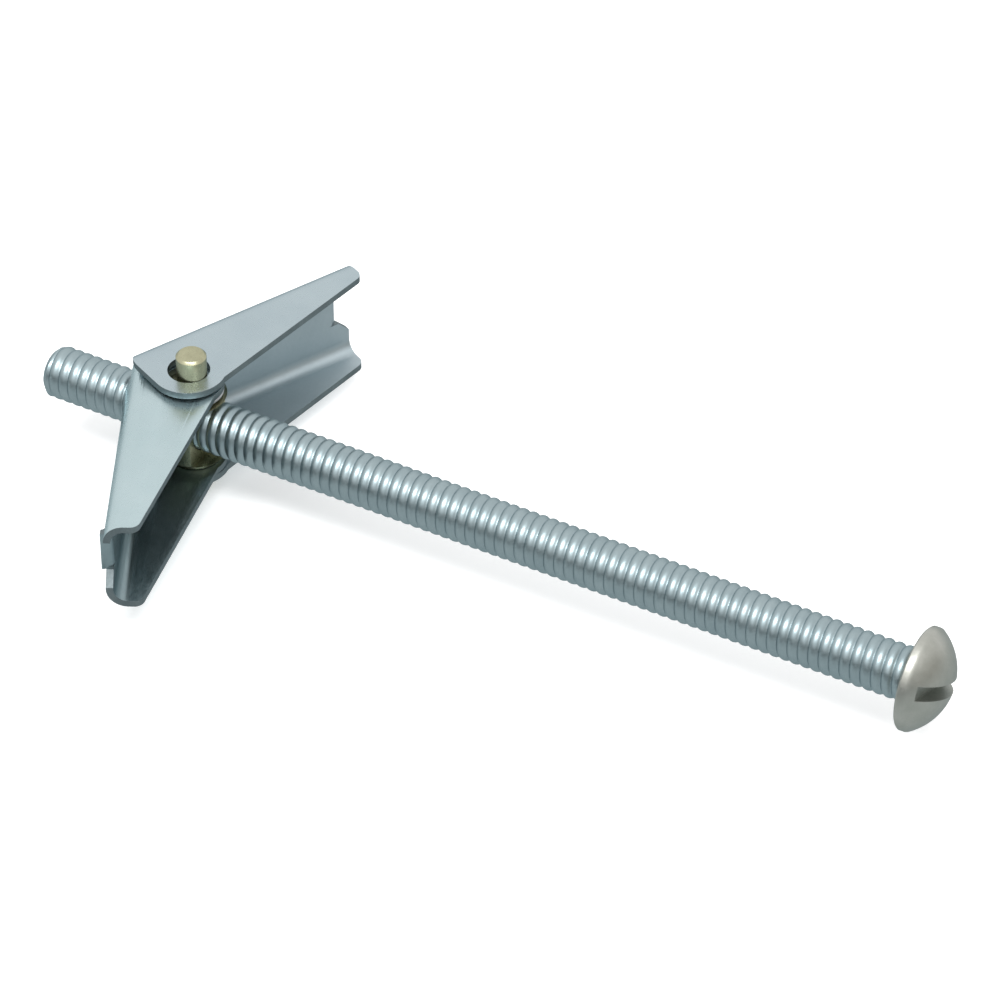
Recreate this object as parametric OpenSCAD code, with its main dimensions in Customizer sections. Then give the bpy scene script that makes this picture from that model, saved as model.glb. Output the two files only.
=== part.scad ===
// Spring toggle bolt: a slotted round-head machine screw that carries a toggle with two sprung wings.
// The screw's axis runs along X with the head at +X. The pivot pins of the toggle stand along Z.
// The origin is the bottom centre of the bounding box, and the lower pivot pin stands on z = 0.

/* [Machine screw] */
// Major diameter of the thread, drawn here as a plain shank
screw_d = 6.35; // [5.4:0.05:6.6]
// Length under the head
screw_len = 112; // [80:1:160]
// Chamfer at the tip
tip_chamfer = 0.7; // [0.3:0.1:1.2]
// Diameter of the head
head_d = 12.2; // [11:0.1:16]
// Height of the whole head above its bearing face
head_h = 4.3; // [3.5:0.1:6]
// Height of the upright rim between the bearing face and the dome
head_rim_h = 0.9; // [0.3:0.1:1.2]
// Width of the driver slot
slot_w = 1.7; // [1:0.1:2]
// Depth of the driver slot below the top of the dome
slot_depth = 2.3; // [1:0.1:2.5]
// Turn of the slot about the screw's axis, measured from upright
slot_turn = 65; // [0:5:175]

/* [Trunnion nut] */
// Distance from the tip of the screw to the pivot pins
pivot_from_tip = 19.3; // [12:0.1:50]
// Metal on each side of the threaded hole
barrel_side = 1.2; // [1:0.1:2]
// Metal between the threaded hole and each end of the barrel
barrel_wall = 0.8; // [0.3:0.05:1.2]
// Width of the collars' shoulders, which the ears turn against
collar_lip = 0.7; // [0.4:0.1:1]
// Diameter of the pivot pins
pin_d = 3.6; // [2.4:0.1:3.8]
// How far each pin stands out of the outer ear
pin_out = 2.7; // [1:0.1:4]
// Chamfer at each pin's end
pin_chamfer = 0.3; // [0.1:0.1:0.7]
// Chamfer at each end of the barrel
barrel_chamfer = 0.4; // [0.1:0.1:0.8]
// Radial clearance of the screw in the nut
thread_gap = 0.05; // [0.02:0.01:0.1]

/* [Wings] */
// Thickness of the pressed sheet
sheet = 0.85; // [0.6:0.05:1.2]
// Clearance between each outer ear and the inner ear beside it
ear_gap = 0.25; // [0.05:0.05:0.5]
// Clearance between each inner ear and the collar beside it
collar_gap = 0.08; // [0.05:0.01:0.2]
// Length from the pivot hole to the wing's tip
wing_len = 26.5; // [22:0.1:40]
// Clearance between the nut's barrel and the inside of each web
web_gap = 2.6; // [1:0.1:3.5]
// Inside radius of the bends between the web and the flanges
bend_inside_r = 1.6; // [0.5:0.05:1.8]
// Angle between each open web and the screw's axis
open_angle = 63.7; // [50:0.1:75]
// Angle by which the flanges narrow towards the tip
taper = 15.8; // [8:0.1:17]
// Width of the ear round the pivot hole
ear_rim = 1.9; // [1.5:0.1:3.2]
// How far the flange's free edge stands inside the rim of the ear
edge_drop = 0.3; // [0.1:0.1:1]
// Distance from the pivot hole back to the ear's far edge
ear_back = 4.5; // [4.2:0.1:6]
// Radius of the ear's corner behind the web
ear_corner_r = 3; // [1:0.1:3.5]
// Diameter of the pivot hole in each ear
ear_hole_d = 5; // [4:0.1:5.2]
// Clearance left between the pin and the side of the hole that bears on it
bearing_gap = 0.05; // [0.02:0.01:0.1]
// Gap between the open web's edge and the screw, which is the open stop
stop_gap = 0.1; // [0.05:0.05:0.5]
// Depth of the notch in the web's end
notch_depth = 1.5; // [1:0.1:2.5]
// Distance from the wing's middle to the notch's sloping side, at the bottom of the notch
notch_side = 1.7; // [0.5:0.1:2]
// Inside radius of the lip that is rolled outwards along the bottom of the notch
lip_inside_r = 0.5; // [0.2:0.1:0.8]
// Radius of the flanges' free corners at the tip
tip_r = 1.2; // [0.3:0.1:1.5]

/* [Torsion spring] */
// Diameter of the spring wire
wire_d = 0.45; // [0.3:0.05:0.6]
// Gap between the coil and the collar, and between the turns
coil_gap = 0.05; // [0.03:0.01:0.1]
// Clearance between each end of the coil and the barrel or ear beside it
coil_play = 0.04; // [0.02:0.01:0.1]
// Clearance between each leg and the inside of its web
leg_gap = 0.35; // [0.1:0.05:0.6]
// Distance along each wing from the pivot to the end of the spring's leg
leg_reach = 14; // [10:0.5:18]

/* [Hidden] */
$fn = 96;
over = 1;

screw_r = screw_d / 2;
head_r = head_d / 2;
pin_r = pin_d / 2;
barrel_r = screw_r + thread_gap + barrel_side;
collar_r = ear_hole_d / 2 + collar_lip;
ear_r = ear_hole_d / 2 + ear_rim;
bend_r = sheet + bend_inside_r;
lip_r = sheet + lip_inside_r;

// The spring pushes each web away from the nut, so the pin bears on the opposite side of each pivot hole.
slack = (ear_hole_d - pin_d) / 2 - bearing_gap;

// The web's inside clears the barrel, and its edge stops against the screw when the wing is open.
web_inside = barrel_r + web_gap;
web_off = web_inside + sheet - slack;
web_start = (screw_r + stop_gap - web_inside * cos(open_angle)) / sin(open_angle);

// The coil goes from one leg round the collar to the other.
wire_r = wire_d / 2;
coil_r = collar_r + coil_gap + wire_r;
leg_v = web_inside - wire_r - leg_gap;
leg_angle = open_angle + atan2(leg_v, leg_reach) + acos(coil_r / norm([leg_reach, leg_v]));
coil_half = 360 - leg_angle;
coil_steps = 18;
coil_rise = (wire_d + coil_gap) * coil_half / 360;
coil_room = 2 * (coil_rise + wire_r + coil_play);

// Heights above the screw's axis of the nut's steps, between which the ears and the coil fit
barrel_top = screw_r + thread_gap + barrel_wall;
inside_w = 2 * (barrel_top + coil_room);
inner_wing_w = inside_w + 2 * sheet;
outer_wing_w = inner_wing_w + 2 * (ear_gap + sheet);
collar_top = inside_w / 2 - collar_gap;
pin_top = outer_wing_w / 2 + pin_out;

axis_z = max(pin_top, head_r);
tip_x = -(screw_len + head_h) / 2;
head_x = tip_x + screw_len;
pivot_x = tip_x + pivot_from_tip;

// Straight edges end this far inside the curves that they meet.
tuck = 0.05;
wire_sides = 8;

function turned(p, a) = [p[0] * cos(a) - p[1] * sin(a), p[0] * sin(a) + p[1] * cos(a)];
function arc(c, r, a0, a1, n) = [for (i = [0:n]) c + r * [cos(a0 + (a1 - a0) * i / n), sin(a0 + (a1 - a0) * i / n)]];

module at_axis(x) {
    translate([x, 0, axis_z]) children();
}

// Slotted round-head machine screw, with its shank plain to the thread's major diameter
module machine_screw() {
    dome_h = head_h - head_rim_h;
    dome_r = (head_r * head_r + dome_h * dome_h) / (2 * dome_h);
    color("silver")
    difference() {
        union() {
            at_axis(tip_x) rotate([0, 90, 0]) rotate_extrude() polygon([
                [0, 0],
                [screw_r - tip_chamfer, 0],
                [screw_r, tip_chamfer],
                [screw_r, screw_len + head_rim_h],
                [0, screw_len + head_rim_h]
            ]);
            intersection() {
                at_axis(head_x) rotate([0, 90, 0]) cylinder(r = head_r, h = head_h + over);
                at_axis(head_x + head_h - dome_r) rotate([90, 0, 180]) sphere(r = dome_r, $fn = 160);
            }
        }
        at_axis(head_x + head_h - slot_depth) rotate([slot_turn, 0, 0])
            translate([0, -slot_w / 2, -head_d]) cube([head_h + over, slot_w, 2 * head_d]);
    }
}

// Turned nut: a barrel tapped across for the screw, with a collar and a pivot pin at each end
module trunnion_nut() {
    half = [
        [barrel_r, barrel_top - barrel_chamfer],
        [barrel_r - barrel_chamfer, barrel_top],
        [collar_r, barrel_top],
        [collar_r, collar_top],
        [pin_r, collar_top],
        [pin_r, pin_top - pin_chamfer],
        [pin_r - pin_chamfer, pin_top],
        [0, pin_top]
    ];
    lower = [for (i = [len(half) - 1:-1:0]) [half[i][0], -half[i][1]]];
    color("goldenrod")
    difference() {
        at_axis(pivot_x) rotate_extrude() polygon(concat(half, lower));
        at_axis(pivot_x - barrel_r - over) rotate([0, 90, 0])
            cylinder(r = screw_r + thread_gap, h = 2 * (barrel_r + over));
    }
}

// Outline of a flange with its ear, seen along the pivot, from the middle of the pivot hole
module flange_outline() {
    edge_at = (ear_r - edge_drop) * [sin(taper), -cos(taper)];
    tip_v = edge_at[1] + (wing_len - edge_at[0]) * tan(taper);
    round_at = [wing_len - tip_r, tip_v + tip_r * (1 - sin(taper)) / cos(taper)];
    corner = [ear_corner_r - ear_back, web_off - ear_corner_r];
    lean = atan2(corner[1], corner[0]) + acos((ear_r - ear_corner_r) / norm(corner));
    circle(r = ear_r);
    polygon(concat(
        [edge_at],
        arc(round_at, tip_r, taper - 90, 0, 6),
        [[wing_len, web_off]],
        arc(corner, ear_corner_r, 90, lean, 6),
        [(ear_r - tuck) * [cos(lean), sin(lean)]]
    ));
}

// Long bar with two rounded edges along its outer side, as the inside or outside of the channel
module bar(w, top, r) {
    reach = wing_len + ear_back + 2 * over;
    translate([-ear_back - over, 0, 0]) {
        translate([0, -2 * ear_r, -w / 2]) cube([reach, top - r + 2 * ear_r, w]);
        translate([0, -2 * ear_r, r - w / 2]) cube([reach, top + 2 * ear_r, w - 2 * r]);
        for (side = [-1, 1])
            translate([0, top - r, side * (w / 2 - r)]) rotate([0, 90, 0]) cylinder(r = r, h = reach);
    }
}

// Lip rolled outwards along the bottom of the notch, as a quarter of a tube
module lip(h) {
    intersection() {
        difference() {
            cylinder(r = lip_r, h = h);
            translate([0, 0, -over]) cylinder(r = lip_inside_r, h = h + 2 * over);
        }
        translate([0, -lip_r - over, 0]) cube([lip_r + over, lip_r + over, h]);
    }
}

// Pressed channel, open towards the head. The web and its bends stop short of the two flat ears, and
// the web's far end has a notch with one sloping side and a rolled lip.
module wing(w) {
    notch_top = w / 2 - bend_r;
    notch_u = wing_len - notch_depth;
    translate([0, slack, 0]) {
        difference() {
            intersection() {
                translate([0, 0, -w / 2]) linear_extrude(w) flange_outline();
                bar(w, web_off, bend_r);
            }
            bar(w - 2 * sheet, web_off - sheet, bend_r - sheet);
            translate([0, 0, -w / 2 - over]) cylinder(d = ear_hole_d, h = w + 2 * over);
            translate([web_start - 2 * ear_back, 0, sheet - w / 2])
                cube([2 * ear_back, web_off + over, w - 2 * sheet]);
            translate([0, web_off - bend_r, 0]) rotate([-90, 0, 0]) linear_extrude(bend_r + over) polygon([
                [notch_u - lip_r, -notch_top],
                [notch_u - lip_r, notch_side],
                [notch_u, notch_side],
                [wing_len + over, notch_side + notch_depth + over],
                [wing_len + over, -notch_top]
            ]);
        }
        translate([notch_u - lip_r, web_off + lip_inside_r, -notch_side]) lip(notch_side + notch_top);
    }
}

module outer_wing() {
    color("lightsteelblue") at_axis(pivot_x) rotate([0, 0, open_angle]) wing(outer_wing_w);
}

// The mirror image of the outer wing, made narrower to nest between the outer ears
module inner_wing() {
    color("lightblue") at_axis(pivot_x) mirror([0, 1, 0]) rotate([0, 0, open_angle]) wing(inner_wing_w);
}

// Wire spring: a coil round the upper collar, with a straight leg along the inside of each web
module torsion_spring() {
    end_p = turned([leg_reach, leg_v], open_angle);
    path = concat(
        [[end_p[0], end_p[1], coil_rise]],
        [for (i = [-coil_steps:coil_steps]) let (turn = i / coil_steps, a = turn * coil_half)
            [coil_r * cos(a), coil_r * sin(a), -coil_rise * turn]],
        [[end_p[0], -end_p[1], -coil_rise]]
    );
    last = len(path) - 1;
    function way(i) = let (d = path[min(i + 1, last)] - path[max(i - 1, 0)]) atan2(d[1], d[0]);
    function heading(i) = i <= 1 ? way(0) : i >= last - 1 ? way(last) : way(i);
    rings = [for (i = [0:last], k = [0:wire_sides - 1])
        let (a = 360 * k / wire_sides, side = heading(i) + 90)
        path[i] + wire_r * [cos(a) * cos(side), cos(a) * sin(side), sin(a)]];
    walls = [for (i = [0:last - 1], k = [0:wire_sides - 1])
        let (n = (k + 1) % wire_sides, b = i * wire_sides)
        [b + k, b + wire_sides + k, b + wire_sides + n, b + n]];
    first_end = [for (k = [0:wire_sides - 1]) k];
    last_end = [for (k = [wire_sides - 1:-1:0]) last * wire_sides + k];
    color("dimgray") at_axis(pivot_x) translate([0, 0, barrel_top + coil_room / 2])
        polyhedron(rings, concat(walls, [first_end, last_end]), convexity = 6);
}

machine_screw();
trunnion_nut();
outer_wing();
inner_wing();
torsion_spring();
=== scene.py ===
# Spring toggle bolt: a long slotted round-head machine screw with a sprung toggle threaded on near its tip.
# Axes: +X runs along the screw to its head, +Z runs up the pivot pins. Sizes are in metres.

from math import acos, atan2, ceil, cos, pi, radians, sin

import bmesh
import bpy
from mathutils import Matrix, Vector


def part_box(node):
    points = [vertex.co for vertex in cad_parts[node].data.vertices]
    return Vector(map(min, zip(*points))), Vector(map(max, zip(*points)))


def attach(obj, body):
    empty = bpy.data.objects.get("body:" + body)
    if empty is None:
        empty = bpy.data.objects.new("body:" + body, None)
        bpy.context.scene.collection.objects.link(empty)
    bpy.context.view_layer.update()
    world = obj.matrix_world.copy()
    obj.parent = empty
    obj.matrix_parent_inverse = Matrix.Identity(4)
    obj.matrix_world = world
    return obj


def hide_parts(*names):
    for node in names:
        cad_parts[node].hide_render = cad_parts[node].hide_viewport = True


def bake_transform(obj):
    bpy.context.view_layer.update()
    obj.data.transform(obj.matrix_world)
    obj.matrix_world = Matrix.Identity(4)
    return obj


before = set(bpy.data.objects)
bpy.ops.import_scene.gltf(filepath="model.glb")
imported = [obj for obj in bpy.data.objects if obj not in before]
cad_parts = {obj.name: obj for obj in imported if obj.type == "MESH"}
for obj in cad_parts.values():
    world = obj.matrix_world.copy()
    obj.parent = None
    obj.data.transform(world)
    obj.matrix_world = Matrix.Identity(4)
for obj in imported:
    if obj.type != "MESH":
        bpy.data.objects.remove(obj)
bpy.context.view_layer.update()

# ---------------------------------------------------------------------------
# Thread of the machine screw.
# The shank is rolled to a quarter-inch 20-per-inch right-hand thread from the tip to the head, and the
# whole screw is bright zinc plated with a blue cast.

tip_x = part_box("machine_screw")[0].x
screw_len = 0.112
head_x = tip_x + screw_len
nut_lo, nut_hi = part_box("trunnion_nut")
axis_z = (nut_lo.z + nut_hi.z) / 2
pivot = Vector(((nut_lo.x + nut_hi.x) / 2, 0, axis_z))

thread_pitch = 0.00127
crest_r = 0.003175
root_r = 0.00287
tip_chamfer = 0.0007
crest_from_pivot = 0.003318  # along the screw, to a crest on its +Y side
samples_per_pitch = 12
thread_sides = 64
head_overlap = 0.0003  # how far the shank runs on inside the head
sharp_bend = radians(40)  # edges that bend more than this are sharp
weld = 1e-6  # points nearer than this are one


def add_node(tree, kind, settings=None, **inputs):
    """Adds a node and links or sets its inputs. From_Min is the input From Min, and i0 is the first one."""
    made = tree.nodes.new(kind)
    for key, value in (settings or {}).items():
        setattr(made, key, value)
    for key, value in inputs.items():
        numbered = key[0] == "i" and key[1:].isdigit()
        socket = made.inputs[int(key[1:]) if numbered else key.rstrip("_").replace("_", " ")]
        if isinstance(value, bpy.types.NodeSocket):
            tree.links.new(value, socket)
        else:
            socket.default_value = value
    return made


def calc(tree, operation, *terms):
    """One Math node, which returns its output."""
    return add_node(
        tree, "ShaderNodeMath", {"operation": operation}, **{"i%d" % i: t for i, t in enumerate(terms)}
    ).outputs[0]


def new_tree(name, inputs):
    """A Geometry Nodes tree with named inputs and one geometry output."""
    tree = bpy.data.node_groups.new(name, "GeometryNodeTree")
    for label, kind in inputs:
        tree.interface.new_socket(label, in_out="INPUT", socket_type="NodeSocket" + kind)
    tree.interface.new_socket("Geometry", in_out="OUTPUT", socket_type="NodeSocketGeometry")
    return tree, tree.nodes.new("NodeGroupInput").outputs, tree.nodes.new("NodeGroupOutput").inputs


def grown(name, tree, values):
    """The plain closed mesh that a Geometry Nodes tree makes with these input values."""
    obj = bpy.data.objects.new(name, bpy.data.meshes.new(name))
    bpy.context.scene.collection.objects.link(obj)
    modifier = obj.modifiers.new("shape", "NODES")
    modifier.node_group = tree
    for item in tree.interface.items_tree:
        if item.in_out == "INPUT" and item.name in values:
            modifier[item.identifier] = values[item.name]
    return settled(obj)


def settled(obj):
    """Turns what an object's modifiers make into its plain mesh."""
    evaluated = obj.evaluated_get(bpy.context.evaluated_depsgraph_get())
    mesh = bpy.data.meshes.new_from_object(evaluated)
    obj.modifiers.clear()
    obj.data = mesh
    mesh.name = obj.name
    return obj


def outwards(mesh):
    """Merges doubled points and points every face outwards."""
    work = bmesh.new()
    work.from_mesh(mesh)
    bmesh.ops.remove_doubles(work, verts=work.verts, dist=weld)
    bmesh.ops.recalc_face_normals(work, faces=work.faces)
    work.to_mesh(mesh)
    work.free()


def plate_group():
    """Zinc plate, whose crystals vary a little in tint, with the fine marks that handling leaves."""
    group = bpy.data.node_groups.new("zinc plate surface", "ShaderNodeTree")
    for label, kind in (
        ("Light tint", "Color"),
        ("Dark tint", "Color"),
        ("Spread", "Float"),
        ("Marks per metre", "Float"),
        ("Roughness low", "Float"),
        ("Roughness high", "Float"),
    ):
        group.interface.new_socket(label, in_out="INPUT", socket_type="NodeSocket" + kind)
    for label, kind in (("Color", "Color"), ("Roughness", "Float"), ("Height", "Float")):
        group.interface.new_socket(label, in_out="OUTPUT", socket_type="NodeSocket" + kind)
    given = group.nodes.new("NodeGroupInput").outputs
    out = group.nodes.new("NodeGroupOutput").inputs
    place = group.nodes.new("ShaderNodeTexCoord").outputs["Object"]
    noise_low, noise_high = 0.3, 0.7  # nearly all of a noise texture lies between these
    grain_scale, grain_height = 9.0, 0.25  # the grain against the clouds
    clouds = add_node(
        group, "ShaderNodeTexNoise", Vector=place, Scale=given["Marks per metre"], Detail=5.0, Roughness=0.6
    ).outputs["Fac"]
    fine_scale = calc(group, "MULTIPLY", given["Marks per metre"], grain_scale)
    grain = add_node(
        group, "ShaderNodeTexNoise", Vector=place, Scale=fine_scale, Detail=3.0, Roughness=0.7
    ).outputs["Fac"]
    patch = add_node(group, "ShaderNodeMapRange", Value=clouds, From_Min=noise_low, From_Max=noise_high)
    mixed = calc(group, "MULTIPLY", patch.outputs["Result"], given["Spread"])
    tint = add_node(group, "ShaderNodeMix", {"data_type": "RGBA"}, i0=mixed)
    group.links.new(given["Light tint"], tint.inputs["A"])
    group.links.new(given["Dark tint"], tint.inputs["B"])
    group.links.new(tint.outputs[2], out["Color"])
    rough = add_node(
        group,
        "ShaderNodeMapRange",
        Value=grain,
        From_Min=noise_low,
        From_Max=noise_high,
        To_Min=given["Roughness low"],
        To_Max=given["Roughness high"],
    ).outputs["Result"]
    group.links.new(rough, out["Roughness"])
    group.links.new(calc(group, "ADD", clouds, calc(group, "MULTIPLY", grain, grain_height)), out["Height"])
    return group


zinc_plate = plate_group()


def new_material(name):
    """A new material, with its node tree and its surface shader."""
    material = bpy.data.materials.new(name)
    material.use_nodes = True
    return material, material.node_tree, material.node_tree.nodes["Principled BSDF"]


def plated(name, light, dark, spread, marks_per_metre, rough, bump, bump_depth=0.00004):
    """A metal whose tint, gloss and fine bump come from the plate group."""
    material, tree, shader = new_material(name)
    shader.inputs["Metallic"].default_value = 1.0
    shader.inputs["Specular Tint"].default_value = (0.6, 0.65, 0.67, 1)  # its tint at a grazing angle
    plate = add_node(
        tree,
        "ShaderNodeGroup",
        {"node_tree": zinc_plate},
        Light_tint=(*light, 1),
        Dark_tint=(*dark, 1),
        Spread=spread,
        Marks_per_metre=marks_per_metre,
        Roughness_low=rough[0],
        Roughness_high=rough[1],
    )
    tree.links.new(plate.outputs["Color"], shader.inputs["Base Color"])
    tree.links.new(plate.outputs["Roughness"], shader.inputs["Roughness"])
    height = plate.outputs["Height"]
    relief = add_node(tree, "ShaderNodeBump", Strength=bump, Distance=bump_depth, Height=height)
    tree.links.new(relief.outputs["Normal"], shader.inputs["Normal"])
    return material


screw_zinc = plated(
    "screw_zinc_plate",
    light=(0.38, 0.46, 0.48),
    dark=(0.28, 0.36, 0.385),
    spread=0.6,
    marks_per_metre=380.0,
    rough=(0.34, 0.46),
    bump=0.25,
)

tree, given, made = new_tree(
    "rolled thread",
    (
        ("Rows", "Int"),
        ("Columns", "Int"),
        ("Pitch", "Float"),
        ("Row step", "Float"),
        ("Crest radius", "Float"),
        ("Root radius", "Float"),
        ("Chamfer", "Float"),
        ("Tip", "Float"),
        ("End", "Float"),
        ("Crest at", "Float"),
        ("Axis height", "Float"),
        ("Crease", "Float"),
        ("Material", "Material"),
    ),
)
grid = add_node(
    tree,
    "GeometryNodeMeshGrid",
    Size_X=1.0,
    Size_Y=1.0,
    Vertices_X=given["Rows"],
    Vertices_Y=given["Columns"],
)
index = tree.nodes.new("GeometryNodeInputIndex").outputs[0]
row = calc(tree, "FLOOR", calc(tree, "DIVIDE", calc(tree, "ADD", index, 0.5), given["Columns"]))
column = calc(tree, "SUBTRACT", index, calc(tree, "MULTIPLY", row, given["Columns"]))
turn = calc(tree, "DIVIDE", column, calc(tree, "SUBTRACT", given["Columns"], 1.0))
angle = calc(tree, "MULTIPLY", turn, 2 * pi)
# Each row of points starts a little further along and climbs one pitch in a turn, so it follows the helix.
first = calc(tree, "SUBTRACT", calc(tree, "SUBTRACT", given["Tip"], given["Pitch"]), given["Row step"])
along = calc(
    tree,
    "ADD",
    calc(tree, "MULTIPLY_ADD", row, given["Row step"], first),
    calc(tree, "MULTIPLY", turn, given["Pitch"]),
)
x = calc(tree, "MINIMUM", calc(tree, "MAXIMUM", along, given["Tip"]), given["End"])
pitches = calc(tree, "DIVIDE", calc(tree, "SUBTRACT", x, given["Crest at"]), given["Pitch"])
phase = calc(tree, "FRACT", calc(tree, "SUBTRACT", pitches, turn))
crestward = calc(tree, "MULTIPLY", calc(tree, "ABSOLUTE", calc(tree, "SUBTRACT", phase, 0.5)), 2.0)
# The rolled crests are round and the roots between them are narrow.
fall = calc(tree, "POWER", calc(tree, "SUBTRACT", 1.0, crestward), 2.0)
depth = calc(tree, "SUBTRACT", given["Root radius"], given["Crest radius"])
radius = calc(tree, "MULTIPLY_ADD", fall, depth, given["Crest radius"])
# The tip is chamfered at 45 degrees.
tip_radius = calc(tree, "SUBTRACT", given["Crest radius"], given["Chamfer"])
lead = calc(tree, "ADD", tip_radius, calc(tree, "SUBTRACT", x, given["Tip"]))
radius = calc(tree, "MINIMUM", radius, lead)
# The first and last rows shrink to a point and close the ends.
inside = calc(
    tree,
    "MULTIPLY",
    calc(tree, "GREATER_THAN", row, 0.5),
    calc(tree, "LESS_THAN", row, calc(tree, "SUBTRACT", given["Rows"], 1.5)),
)
radius = calc(tree, "MULTIPLY", radius, inside)
point = add_node(
    tree,
    "ShaderNodeCombineXYZ",
    X=x,
    Y=calc(tree, "MULTIPLY", radius, calc(tree, "COSINE", angle)),
    Z=calc(tree, "MULTIPLY_ADD", radius, calc(tree, "SINE", angle), given["Axis height"]),
).outputs[0]
wrapped = add_node(tree, "GeometryNodeSetPosition", Geometry=grid.outputs["Mesh"], Position=point)
sewn = add_node(tree, "GeometryNodeMergeByDistance", Geometry=wrapped.outputs[0], Distance=2 * weld)
smooth = add_node(tree, "GeometryNodeSetShadeSmooth", Geometry=sewn.outputs[0], Shade_Smooth=True)
bend = tree.nodes.new("GeometryNodeInputMeshEdgeAngle").outputs[0]
creased = add_node(
    tree,
    "GeometryNodeSetShadeSmooth",
    {"domain": "EDGE"},
    Geometry=smooth.outputs[0],
    Selection=calc(tree, "GREATER_THAN", bend, given["Crease"]),
    Shade_Smooth=False,
)
real = add_node(tree, "GeometryNodeRealizeInstances", Geometry=creased.outputs[0])
coated = add_node(tree, "GeometryNodeSetMaterial", Geometry=real.outputs[0], Material=given["Material"])
tree.links.new(coated.outputs[0], made["Geometry"])

row_step = thread_pitch / samples_per_pitch
thread_end = head_x + head_overlap
screw_thread = grown(
    "screw_thread",
    tree,
    {
        "Rows": ceil((thread_end - tip_x + thread_pitch + row_step) / row_step) + 2,
        "Columns": thread_sides + 1,
        "Pitch": thread_pitch,
        "Row step": row_step,
        "Crest radius": crest_r,
        "Root radius": root_r,
        "Chamfer": tip_chamfer,
        "Tip": tip_x,
        "End": thread_end,
        "Crest at": pivot.x + crest_from_pivot,
        "Axis height": axis_z,
        "Crease": sharp_bend,
        "Material": screw_zinc,
    },
)
outwards(screw_thread.data)
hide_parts("machine_screw")
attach(screw_thread, "screw")

# ---------------------------------------------------------------------------
# Head of the machine screw.
# It is upset cold from the same wire as the shank: a low dome over a short upright rim, with a driver
# slot sawn across it, and plated with the rest.

head_r = 0.0061
head_h = 0.0043
rim_h = 0.0009
slot_w = 0.0017
slot_depth = 0.0023
slot_turn = radians(65)
rim_ease = 0.0002
head_ease = 0.00014
head_sides = 128
dome_steps = 24
ease_steps = 3
dome_share = 0.985  # the part of the dome that the profile follows before the rounded rim
flat_bend = radians(0.6)  # faces that bend less than this count as one flat face
large_face_weight = 80  # how far the larger faces settle the shading of the points they share


def made_from(name, work):
    """An object with the mesh that was built in a bmesh."""
    mesh = bpy.data.meshes.new(name)
    work.to_mesh(mesh)
    work.free()
    obj = bpy.data.objects.new(name, mesh)
    bpy.context.scene.collection.objects.link(obj)
    return obj


def lathe(name, profile, sides, place):
    """A closed solid of revolution about local Z. Its (radius, height) points start and end on the axis."""
    work = bmesh.new()
    turns = [2 * pi * k / sides for k in range(sides)]
    rings = []
    for r, z in profile:
        around = [(r * cos(a), r * sin(a), z) for a in turns] if r > 0 else [(0, 0, z)]
        rings.append([work.verts.new(point) for point in around])
    for lower, upper in zip(rings, rings[1:]):
        for k in range(sides):
            loop = ((lower, k), (lower, k + 1), (upper, k + 1), (upper, k))
            corners = [ring[i % len(ring)] for ring, i in loop]
            work.faces.new(list(dict.fromkeys(corners)))
    bmesh.ops.recalc_face_normals(work, faces=work.faces)
    work.transform(place)
    return made_from(name, work)


def block(name, low, high, place):
    """A cutting block between two corners."""
    low, high = Vector(low), Vector(high)
    work = bmesh.new()
    stretch = Matrix.Diagonal((*(high - low), 1))
    bmesh.ops.create_cube(work, size=1, matrix=Matrix.Translation((low + high) / 2) @ stretch)
    work.transform(place)
    return made_from(name, work)


def cut_away(obj, tool, operation="DIFFERENCE"):
    """Cuts one object with another, or joins them, and throws the tool away."""
    cut = obj.modifiers.new("cut", "BOOLEAN")
    cut.operation = operation
    cut.solver = "EXACT"
    cut.object = tool
    settled(obj)
    bpy.data.objects.remove(tool)
    return obj


def levelled(obj):
    """Smooth shading in which each flat face stays flat, left as a plain mesh."""
    level = obj.modifiers.new("level faces", "WEIGHTED_NORMAL")
    level.weight = large_face_weight
    return settled(obj)


def eased(obj, width):
    """Rounds every sharp edge a little."""
    work = bmesh.new()
    work.from_mesh(obj.data)
    bmesh.ops.remove_doubles(work, verts=work.verts, dist=weld)
    bmesh.ops.dissolve_limit(work, angle_limit=flat_bend, verts=work.verts, edges=work.edges)
    for face in work.faces:
        face.smooth = True
    work.to_mesh(obj.data)
    work.free()
    bevel = obj.modifiers.new("eased edges", "BEVEL")
    bevel.limit_method = "ANGLE"
    bevel.angle_limit = sharp_bend
    bevel.width = width
    bevel.segments = ease_steps
    return levelled(obj)


def use(obj, material):
    """Gives an object one material."""
    obj.data.materials.clear()
    obj.data.materials.append(material)


upright = Matrix.Translation((0, 0, axis_z)) @ Matrix.Rotation(pi / 2, 4, "Y")
dome_h = head_h - rim_h
dome_r = (head_r**2 + dome_h**2) / (2 * dome_h)
dome_span = atan2(head_r, dome_r - dome_h)
head_profile = [
    (0, head_x),
    (head_r - rim_ease, head_x),
    (head_r, head_x + rim_ease),
    (head_r, head_x + rim_h - rim_ease / 2),
]
for k in range(dome_steps + 1):
    a = dome_span * (1 - k / dome_steps) * dome_share
    head_profile.append((dome_r * sin(a), head_x + head_h - dome_r + dome_r * cos(a)))
screw_head = lathe("screw_head", head_profile, head_sides, upright)
cut_away(
    screw_head,
    block(
        "driver slot",
        (head_x + head_h - slot_depth, -slot_w / 2, -2 * head_r),
        (head_x + 2 * head_h, slot_w / 2, 2 * head_r),
        Matrix.Translation((0, 0, axis_z)) @ Matrix.Rotation(slot_turn, 4, "X"),
    ),
)
eased(screw_head, head_ease)
head_zinc = plated(
    "head_zinc_plate",
    light=(0.50, 0.50, 0.46),
    dark=(0.39, 0.40, 0.36),
    spread=0.8,
    marks_per_metre=420.0,
    rough=(0.36, 0.5),
    bump=0.4,
    bump_depth=0.00006,
)
use(screw_head, head_zinc)
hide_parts("machine_screw")
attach(screw_head, "screw")

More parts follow.
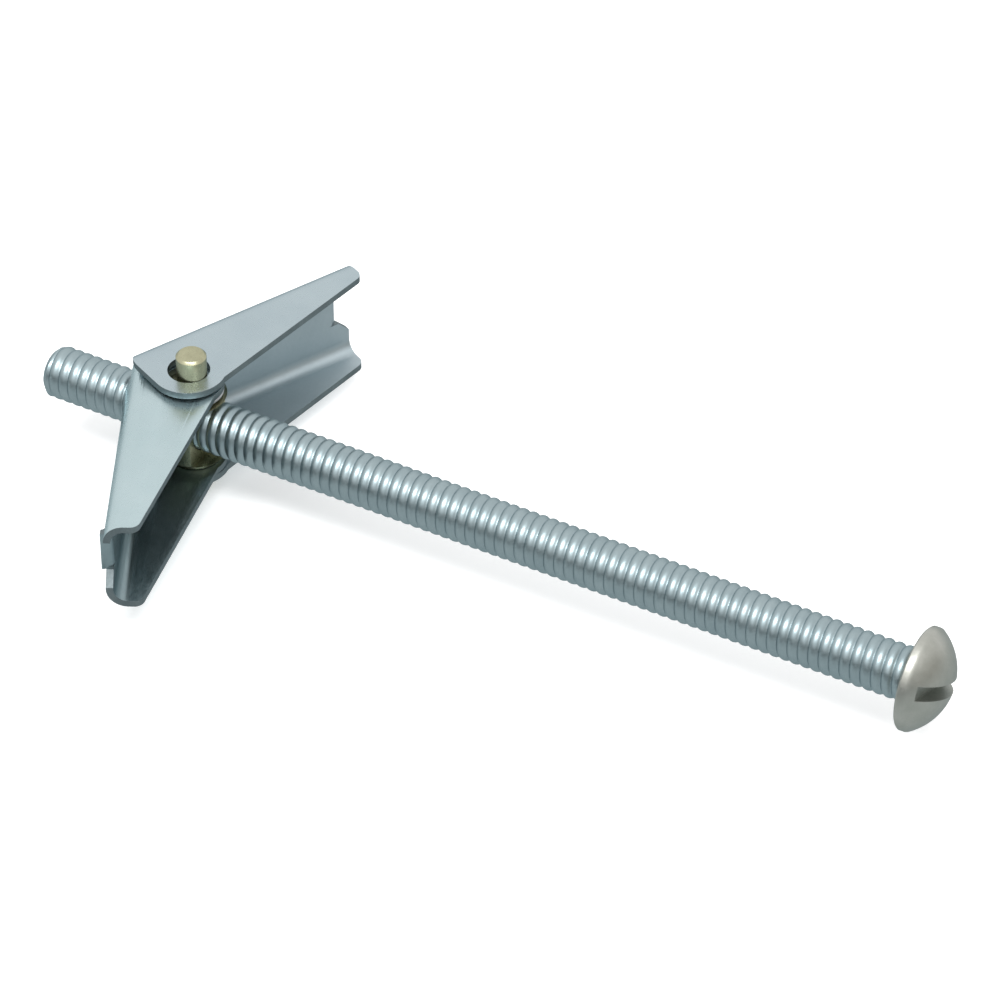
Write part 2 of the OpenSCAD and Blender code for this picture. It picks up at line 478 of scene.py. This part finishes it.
# ---------------------------------------------------------------------------
# Trunnion nut.
# It is turned from bar, flattened on both sides of its middle, tapped across for the screw, and yellow
# passivated. Its two pins carry the wings.

flat_half = 0.00185  # from the pivot to each flat
barrel_half = 0.00402
nut_ease = 0.00006
clear = 0.01  # cutting tools reach this far from the pivot, past every face

nut_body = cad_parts["trunnion_nut"].copy()
nut_body.data = nut_body.data.copy()
nut_body.name = nut_body.data.name = "nut_body"
nut_body.parent = None
bpy.context.scene.collection.objects.link(nut_body)
for side in (-1, 1):
    near, far = sorted((side * flat_half, side * clear))
    low, high = (near, -clear, -barrel_half), (far, clear, barrel_half)
    cut_away(nut_body, block("flat", low, high, Matrix.Translation(pivot)))
eased(nut_body, nut_ease)
nut_yellow = plated(
    "nut_yellow_zinc",
    light=(0.51, 0.50, 0.34),
    dark=(0.36, 0.35, 0.23),
    spread=0.8,
    marks_per_metre=500.0,
    rough=(0.24, 0.4),
    bump=0.3,
)
use(nut_body, nut_yellow)
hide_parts("trunnion_nut")
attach(nut_body, "nut")

# ---------------------------------------------------------------------------
# Wings.
# Each is pressed from steel sheet into a channel with two ears, and zinc plated. The punch rolls the
# outer rim of every cut. The inner wing is narrower, and its ears nest between the outer wing's.

sheet = 0.00085
bend_in_r = 0.0016
bend_out_r = bend_in_r + sheet
web_out = 0.007225  # from the hole's middle to the web's outside
web_root = 0.000181  # along the wing, to where its web begins
wing_len = 0.0265
wing_turn = radians(63.7)
taper = radians(15.8)
ear_r = 0.0044
ear_hole_r = 0.0025
ear_back = 0.0045
ear_corner_r = 0.003
edge_drop = 0.0003
wing_tip_r = 0.0012
hole_slack = 0.00065  # the spring holds the pin against one side of its hole
notch_depth = 0.0015
notch_side = 0.0017
lip_in_r = 0.0005
lip_out_r = lip_in_r + sheet
roll_width = 0.0004
roll_steps = 4
inner_rim_share = 0.25
rim_bend = radians(32)  # the skins of the sheet meet at rims that bend more than this
ear_steps, tip_steps, bend_steps, lip_steps, hole_sides = 36, 10, 14, 8, 64
over = 0.001  # cutting tools run this far past a face
former_end = 0.03  # along the wing, past its tip

# The outside of each wing; its inside, tinted darker as painted shade in the channel; and its cut faces,
# tinted dark partly for their rough sheared finish and partly as painted shade
# Partly painted shade: the cut faces are tinted dark for their rough sheared finish and also for the shade
# along the free edges
sheared_zinc_and_painted_shade = plated(
    "sheared_edge_zinc_and_painted_shade",
    light=(0.22, 0.26, 0.27),
    dark=(0.14, 0.17, 0.18),
    spread=0.7,
    marks_per_metre=420.0,
    rough=(0.4, 0.6),
    bump=0.5,
    bump_depth=0.00005,
)
wing_finishes_and_painted_shade = {
    "outer_wing": (
        plated(
            "outer_wing_zinc",
            light=(0.48, 0.56, 0.59),
            dark=(0.42, 0.50, 0.535),
            spread=0.7,
            marks_per_metre=160.0,
            rough=(0.24, 0.34),
            bump=0.2,
        ),
        # Painted shade: the inside of the outer wing's channel is tinted a little darker than its outside
        plated(
            "outer_channel_painted_shade_zinc",
            light=(0.45, 0.52, 0.55),
            dark=(0.39, 0.46, 0.49),
            spread=0.6,
            marks_per_metre=220.0,
            rough=(0.42, 0.54),
            bump=0.2,
        ),
        sheared_zinc_and_painted_shade,
    ),
    "inner_wing": (
        plated(
            "inner_wing_zinc",
            light=(0.53, 0.64, 0.66),
            dark=(0.47, 0.59, 0.61),
            spread=0.7,
            marks_per_metre=160.0,
            rough=(0.24, 0.34),
            bump=0.2,
        ),
        # Painted shade: the inside of the inner wing's channel is tinted much darker, for the shade inside
        # the channel
        plated(
            "inner_channel_painted_shade_zinc",
            light=(0.31, 0.39, 0.41),
            dark=(0.23, 0.30, 0.32),
            spread=0.7,
            marks_per_metre=220.0,
            rough=(0.3, 0.42),
            bump=0.25,
        ),
        sheared_zinc_and_painted_shade,
    ),
}
outside_face, inside_face, cut_face = range(3)


def arc(centre, radius, start, end, steps):
    """Points along an arc, from one angle to another."""
    angles = [start + (end - start) * k / steps for k in range(steps + 1)]
    return [(centre[0] + radius * cos(a), centre[1] + radius * sin(a)) for a in angles]


def prism(name, outline, low, high, place=Matrix()):
    """A closed prism over an outline in the first two directions of its place."""
    work = bmesh.new()
    floor_points = [work.verts.new((x, y, low)) for x, y in outline]
    roof_points = [work.verts.new((x, y, high)) for x, y in outline]
    work.faces.new(floor_points)
    work.faces.new(roof_points)
    for k in range(len(outline)):
        work.faces.new((floor_points[k - 1], floor_points[k], roof_points[k], roof_points[k - 1]))
    work.transform(place)
    bmesh.ops.recalc_face_normals(work, faces=work.faces)
    return made_from(name, work)


# Places in which a prism's outline and height run along (web, pivot, length) and (length, pivot, web)
along_wing = Matrix(((0, 0, 1, 0), (1, 0, 0, 0), (0, 1, 0, 0), (0, 0, 0, 1)))
through_web = Matrix(((1, 0, 0, 0), (0, 0, 1, 0), (0, 1, 0, 0), (0, 0, 0, 1)))


def former(width, top, radius):
    """The long bar with two rounded edges that the sheet is bent over, or bent into."""
    half = width / 2
    lower = arc((top - radius, radius - half), radius, -pi / 2, 0, bend_steps)
    upper = arc((top - radius, half - radius), radius, 0, pi / 2, bend_steps)
    outline = [(-clear, half), (-clear, -half)] + lower + upper
    return prism("former", outline, -clear, former_end, along_wing)


def flange_outline():
    """A flange with its round ear and back corner, seen along the pivot from the middle of the ear's hole."""
    foot = ear_r - edge_drop
    tip_v = foot * -cos(taper) + (wing_len - foot * sin(taper)) * sin(taper) / cos(taper)
    tip_centre = (wing_len - wing_tip_r, tip_v + wing_tip_r * (1 - sin(taper)) / cos(taper))
    corner = Vector((ear_corner_r - ear_back, web_out - ear_corner_r))
    lean = atan2(corner.y, corner.x) + acos((ear_r - ear_corner_r) / corner.length)
    return (
        arc((0, 0), ear_r, lean, 1.5 * pi + taper + acos(foot / ear_r), ear_steps)
        + arc(tip_centre, wing_tip_r, taper - pi / 2, 0, tip_steps)
        + [(wing_len, web_out + over)]
        + [(corner.x, web_out + over)]
        + arc(corner, ear_corner_r, pi / 2, lean, bend_steps)
    )


def pressing(name, width):
    """A pressed wing, with its length along X and its pivot along Z."""
    half = width / 2
    notch_top = half - bend_out_r
    notch_u = wing_len - notch_depth
    wing = prism(name, flange_outline(), -half - over, half + over)
    cut_away(wing, former(width, web_out, bend_out_r), "INTERSECT")
    cut_away(wing, former(width - 2 * sheet, web_out - sheet, bend_in_r))
    hole = arc((0, 0), ear_hole_r, 0, 2 * pi, hole_sides)[:-1]
    cut_away(wing, prism("pivot hole", hole, -half - over, half + over))
    root_low, root_high = (-clear, 0, sheet - half), (web_root, web_out + over, half - sheet)
    cut_away(wing, block("root", root_low, root_high, Matrix()))
    notch = [
        (notch_u - lip_out_r, notch_top),
        (notch_u - lip_out_r, -notch_side),
        (notch_u, -notch_side),
        (wing_len + over, -notch_side - notch_depth - over),
        (wing_len + over, notch_top),
    ]
    cut_away(wing, prism("notch", notch, web_out - bend_out_r, web_out + over, through_web))
    lip_centre = (notch_u - lip_out_r, web_out + lip_in_r)
    lip = arc(lip_centre, lip_out_r, -pi / 2, 0, lip_steps) + arc(lip_centre, lip_in_r, 0, -pi / 2, lip_steps)
    cut_away(wing, prism("lip", lip, -notch_side, notch_top), "UNION")
    return wing


def roll_rims(obj, width):
    """Rolls the outer rim of every cut, eases the inner one, and gives each skin of the sheet its material:
    the outside its finish, the inside a darker tint that is painted shade, and the cut faces a dark tint that
    is partly their rough finish and partly painted shade.
    """
    work = bmesh.new()
    work.from_mesh(obj.data)
    bmesh.ops.remove_doubles(work, verts=work.verts, dist=weld)
    bmesh.ops.dissolve_limit(work, angle_limit=flat_bend, verts=work.verts, edges=work.edges)
    bmesh.ops.dissolve_degenerate(work, dist=2 * weld, edges=work.edges)
    left, skins = set(work.faces), []
    while left:
        skin = [left.pop()]
        for face in skin:
            for edge in face.edges:
                for other in edge.link_faces:
                    if other in left and edge.calc_face_angle(pi) < rim_bend:
                        left.remove(other)
                        skin.append(other)
        skins.append(skin)
    # The two largest skins are the outside and the inside of the sheet, and the outside stands higher.
    skins.sort(key=lambda skin: -sum(face.calc_area() for face in skin))
    outer, inner = sorted(skins[:2], key=lambda skin: -max(v.co.z for face in skin for v in face.verts))
    for skins_here, finish in ((skins[2:], cut_face), ([outer], outside_face), ([inner], inside_face)):
        for face in [face for skin in skins_here for face in skin]:
            face.material_index = finish
    outer = set(outer)
    strength = work.edges.layers.float.new("bevel_weight_edge")
    for edge in work.edges:
        if edge.calc_face_angle(0) > rim_bend:
            edge[strength] = 1.0 if outer & set(edge.link_faces) else inner_rim_share
    for face in work.faces:
        face.smooth = True
    work.to_mesh(obj.data)
    work.free()
    roll = obj.modifiers.new("rolled rims", "BEVEL")
    roll.limit_method = "WEIGHT"
    roll.width = width
    roll.segments = roll_steps
    return levelled(obj)


for node, hand in (("outer_wing", 1), ("inner_wing", -1)):
    low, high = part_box(node)
    wing = pressing(node + "_pressing", high.z - low.z)
    for finish in wing_finishes_and_painted_shade[node]:
        wing.data.materials.append(finish)
    roll_rims(wing, roll_width)
    opened = Matrix.Rotation(wing_turn, 4, "Z") @ Matrix.Translation((0, hole_slack, 0))
    wing.data.transform(Matrix.Translation(pivot) @ Matrix.Diagonal((1, hand, 1, 1)) @ opened)
    if hand < 0:
        wing.data.flip_normals()
    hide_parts(node)
    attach(wing, node)

# ---------------------------------------------------------------------------
# Torsion spring.
# One spring wire is wound round the nut's upper collar, and its two straight legs push on the webs of the
# wings from inside. The coil is built as two halves, each with the leg for its own wing.

spring_lo, spring_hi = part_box("torsion_spring")
wire_r = 0.000225
coil_r = 0.003475
coil_turn = radians(194.6)  # from the coil's middle to each leg
coil_steps = 44
wire_sides = 12
leg_end = (0.00042, 0.01541)  # from the pivot, along the screw and out to either side
spring_steel = plated(
    "spring_wire_steel",
    light=(0.50, 0.51, 0.52),
    dark=(0.36, 0.37, 0.38),
    spread=0.6,
    marks_per_metre=600.0,
    rough=(0.25, 0.4),
    bump=0.2,
    bump_depth=0.00002,
)

tree, given, made = new_tree(
    "spring half",
    (
        ("Side", "Float"),
        ("Steps", "Int"),
        ("Coil centre", "Vector"),
        ("Coil radius", "Float"),
        ("Coil turn", "Float"),
        ("Coil rise", "Float"),
        ("Leg along", "Float"),
        ("Leg out", "Float"),
        ("Wire radius", "Float"),
        ("Material", "Material"),
    ),
)
# The points wind from the middle of the coil to where the wire leaves it, and then run out along the leg.
points = add_node(tree, "GeometryNodeMeshLine", Count=calc(tree, "ADD", given["Steps"], 2.0))
index = tree.nodes.new("GeometryNodeInputIndex").outputs[0]
share = calc(tree, "DIVIDE", index, given["Steps"])
wound = calc(tree, "MULTIPLY", share, given["Coil turn"])
angle = calc(tree, "MULTIPLY", wound, calc(tree, "MULTIPLY", given["Side"], -1.0))
on_coil = add_node(
    tree,
    "ShaderNodeCombineXYZ",
    X=calc(tree, "MULTIPLY", given["Coil radius"], calc(tree, "COSINE", angle)),
    Y=calc(tree, "MULTIPLY", given["Coil radius"], calc(tree, "SINE", angle)),
    Z=calc(tree, "MULTIPLY", calc(tree, "MULTIPLY", share, given["Coil rise"]), given["Side"]),
).outputs[0]
on_leg = add_node(
    tree,
    "ShaderNodeCombineXYZ",
    X=given["Leg along"],
    Y=calc(tree, "MULTIPLY", given["Leg out"], given["Side"]),
    Z=calc(tree, "MULTIPLY", given["Coil rise"], given["Side"]),
).outputs[0]
past = calc(tree, "GREATER_THAN", index, calc(tree, "ADD", given["Steps"], 0.5))
chosen = add_node(
    tree, "GeometryNodeSwitch", {"input_type": "VECTOR"}, Switch=past, False_=on_coil, True_=on_leg
).outputs[0]
point = add_node(
    tree, "ShaderNodeVectorMath", {"operation": "ADD"}, i0=chosen, i1=given["Coil centre"]
).outputs[0]
bent = add_node(tree, "GeometryNodeSetPosition", Geometry=points.outputs[0], Position=point)
curve = add_node(tree, "GeometryNodeMeshToCurve", Mesh=bent.outputs[0])
section = add_node(
    tree, "GeometryNodeCurvePrimitiveCircle", Resolution=wire_sides, Radius=given["Wire radius"]
)
wire = add_node(
    tree, "GeometryNodeCurveToMesh", Curve=curve.outputs[0], Profile_Curve=section.outputs[0], Fill_Caps=True
)
smooth = add_node(tree, "GeometryNodeSetShadeSmooth", Geometry=wire.outputs[0], Shade_Smooth=True)
real = add_node(tree, "GeometryNodeRealizeInstances", Geometry=smooth.outputs[0])
coated = add_node(tree, "GeometryNodeSetMaterial", Geometry=real.outputs[0], Material=given["Material"])
tree.links.new(coated.outputs[0], made["Geometry"])

for side, node in ((1.0, "outer_wing"), (-1.0, "inner_wing")):
    half = grown(
        "spring_leg_" + node,
        tree,
        {
            "Side": side,
            "Steps": coil_steps,
            "Coil centre": (pivot.x, 0, (spring_lo.z + spring_hi.z) / 2),
            "Coil radius": coil_r,
            "Coil turn": coil_turn,
            "Coil rise": (spring_hi.z - spring_lo.z) / 2 - wire_r,
            "Leg along": leg_end[0],
            "Leg out": leg_end[1],
            "Wire radius": wire_r,
            "Material": spring_steel,
        },
    )
    outwards(half.data)
    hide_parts("torsion_spring")
    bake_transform(half)

# ---------------------------------------------------------------------------
# Floor, light and camera.
# A pale floor under an overhead soft box in a white room, seen from above on the inner wing's side.
# The floor keeps a faint shadow, and cards around the set tone the metal's reflections.

floor_half = 1.5
floor_glow = 0.3  # lifts the floor that the background rays see
room = 0.85  # strength of the white room's light on the object


def background_rays(tree):
    """1 for the rays that show the background: the camera's, and those that metal or glass sends on."""
    rays = tree.nodes.new("ShaderNodeLightPath").outputs
    sent_on = calc(tree, "MAXIMUM", rays["Is Glossy Ray"], rays["Is Transmission Ray"])
    return calc(tree, "MAXIMUM", rays["Is Camera Ray"], sent_on)


work = bmesh.new()
bmesh.ops.create_grid(work, x_segments=1, y_segments=1, size=floor_half)
floor = made_from("floor", work)
paper, tree, shader = new_material("floor_paper")
shader.inputs["Base Color"].default_value = (0.93, 0.93, 0.93, 1)
shader.inputs["Roughness"].default_value = 0.9
shader.inputs["Emission Color"].default_value = (1, 1, 1, 1)
tree.links.new(calc(tree, "MULTIPLY", background_rays(tree), floor_glow), shader.inputs["Emission Strength"])
use(floor, paper)

world = bpy.data.worlds.new("studio")
bpy.context.scene.world = world
world.use_nodes = True
tree = world.node_tree
background = tree.nodes["Background"]
background.inputs["Color"].default_value = (1, 1, 1, 1)
strength = calc(tree, "MULTIPLY_ADD", background_rays(tree), 1 - room, room)
tree.links.new(strength, background.inputs["Strength"])

light = bpy.data.objects.new("overhead soft box", bpy.data.lights.new("overhead soft box", "AREA"))
light.data.shape = "RECTANGLE"
light.data.size, light.data.size_y = 0.5, 0.14
light.data.energy = 2.2
light.location = (0.05, -0.2, 0.5)
light.rotation_euler = (Vector((0, 0, 0.01)) - light.location).to_track_quat("-Z", "Y").to_euler()
bpy.context.scene.collection.objects.link(light)


def card(name, corner, side, rise, tint):
    """A matt black card in the set, which glows with its own tint and shows only in the metal's reflections.
    """
    corner, side, rise = Vector(corner), Vector(side), Vector(rise)
    work = bmesh.new()
    corners = (corner, corner + side, corner + side + rise, corner + rise)
    work.faces.new([work.verts.new(point) for point in corners])
    obj = made_from(name, work)
    matt, _, shader = new_material(name)
    shader.inputs["Base Color"].default_value = (0, 0, 0, 1)
    shader.inputs["Specular IOR Level"].default_value = 0
    shader.inputs["Emission Color"].default_value = (*tint, 1)
    shader.inputs["Emission Strength"].default_value = 1
    use(obj, matt)
    obj.visible_camera = obj.visible_diffuse = obj.visible_transmission = obj.visible_shadow = False


card("dark card in front", (-0.5, -0.2, 0), (1, 0, 0), (0, 0, 0.09), (0.03, 0.045, 0.05))
card("grey card at the head", (0.5, -0.4, 0), (0, 0.8, 0), (0, 0, 0.25), (0.42, 0.41, 0.38))
# Painted shade: the metal reflects this glowing grey sheet in place of the white floor, standing in for the
# floor shaded under the object
card("painted floor shade card underneath", (-0.5, -0.5, 0.00005), (1, 0, 0), (0, 1, 0), (0.62, 0.67, 0.68))

view_azimuth = radians(28.16)
view_height = radians(40.54)
view_roll = radians(0.37)
view_distance = 0.537
aim_along = 0.0407  # from the pivot towards the head
aim_rise = 0.00325
back = Vector((sin(view_azimuth) * cos(view_height), -cos(view_azimuth) * cos(view_height), sin(view_height)))
right = Vector((cos(view_azimuth), sin(view_azimuth), 0))
up = back.cross(right)
right, up = right * cos(view_roll) + up * sin(view_roll), up * cos(view_roll) - right * sin(view_roll)
aim = pivot + Vector((aim_along, 0, 0)) + up * aim_rise
camera = bpy.data.objects.new("camera", bpy.data.cameras.new("camera"))
camera.data.lens = 169.7
camera.data.sensor_width = 36
camera.data.clip_start = 0.01
turned = Matrix((right, up, back)).transposed().to_4x4()
camera.matrix_world = Matrix.Translation(aim + back * view_distance) @ turned
bpy.context.scene.collection.objects.link(camera)
bpy.context.scene.camera = camera
bpy.context.scene.view_settings.view_transform = "Standard"
